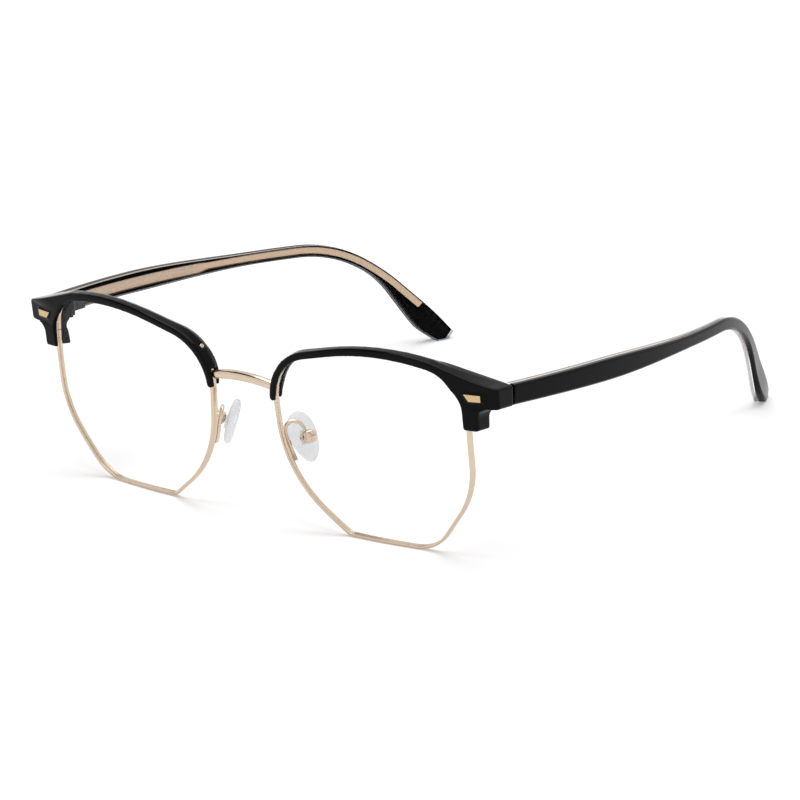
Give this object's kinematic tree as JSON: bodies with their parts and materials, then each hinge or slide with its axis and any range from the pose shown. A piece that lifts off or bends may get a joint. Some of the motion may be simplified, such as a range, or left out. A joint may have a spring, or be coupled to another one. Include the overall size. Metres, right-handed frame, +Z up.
{
  "type": "eyeglasses",
  "caption": "Half rim eyeglasses with glossy black brow bars over thin pale gold rims, clear lenses, rocking nose pads and folding black temples with a metal core.",
  "frame": {"origin": "under the middle of the open eyeglasses, on the surface they stand on", "axes": "+Z up, the front faces -Y, the temples run back along +Y and the wearer's left is +X"},
  "size_m": [0.1462, 0.1504, 0.0492],
  "materials": {
    "black_acetate": "polished black acetate",
    "clear_acetate": "polished crystal acetate",
    "lens_plastic": "clear lens plastic",
    "silicone": "translucent silicone",
    "pad_core_plastic": "stiff clear plastic",
    "dark_steel": "dark plated steel",
    "pale_gold": "polished pale gold plating"
  },
  "bodies": {
    "front": {"bridge": "pale_gold", "brow_left": "black_acetate", "brow_right": "black_acetate", "brow_screw_left": "pale_gold", "brow_screw_right": "pale_gold", "eyewire_left": "pale_gold", "eyewire_right": "pale_gold", "hinge_front_left": "dark_steel", "hinge_front_right": "dark_steel", "hinge_screw_left": "dark_steel", "hinge_screw_right": "dark_steel", "lens_left": "lens_plastic", "lens_right": "lens_plastic", "pad_arm_left": "pale_gold", "pad_arm_right": "pale_gold", "pad_box_left": "pale_gold", "pad_box_right": "pale_gold", "pad_screw_left": "pale_gold", "pad_screw_right": "pale_gold", "rim_lock_lower_left": "pale_gold", "rim_lock_lower_right": "pale_gold", "rim_lock_screw_left": "pale_gold", "rim_lock_screw_right": "pale_gold", "rim_lock_upper_left": "pale_gold", "rim_lock_upper_right": "pale_gold", "rivet_plate_left": "pale_gold", "rivet_plate_right": "pale_gold"},
    "temple_left": {"temple_outer_left": "black_acetate", "temple_inner_left": "clear_acetate", "core_wire_left": "pale_gold", "hinge_temple_left": "dark_steel"},
    "temple_right": {"temple_outer_right": "black_acetate", "temple_inner_right": "clear_acetate", "core_wire_right": "pale_gold", "hinge_temple_right": "dark_steel"},
    "nose_pad_left": {"nose_pad_left": "silicone", "pad_core_left": "pad_core_plastic"},
    "nose_pad_right": {"nose_pad_right": "silicone", "pad_core_right": "pad_core_plastic"}
  },
  "joints": [
    {"name": "temple_left_fold", "type": "hinge", "parent": "front", "child": "temple_left", "pos_m": [0.06489, -0.06008, 0.04048], "axis": [0, 0, 1], "range_deg": [0, 84]},
    {"name": "temple_right_fold", "type": "hinge", "parent": "front", "child": "temple_right", "pos_m": [-0.06489, -0.06008, 0.04048], "axis": [0, 0, -1], "range_deg": [0, 73]},
    {"name": "nose_pad_left_rock", "type": "hinge", "parent": "front", "child": "nose_pad_left", "pos_m": [0.01279, -0.06642, 0.02145], "axis": [0.4226, 0.9063, 0], "range_deg": [-8, 8]},
    {"name": "nose_pad_right_rock", "type": "hinge", "parent": "front", "child": "nose_pad_right", "pos_m": [-0.01279, -0.06642, 0.02145], "axis": [-0.4226, 0.9063, 0], "range_deg": [-8, 8]}
  ]
}
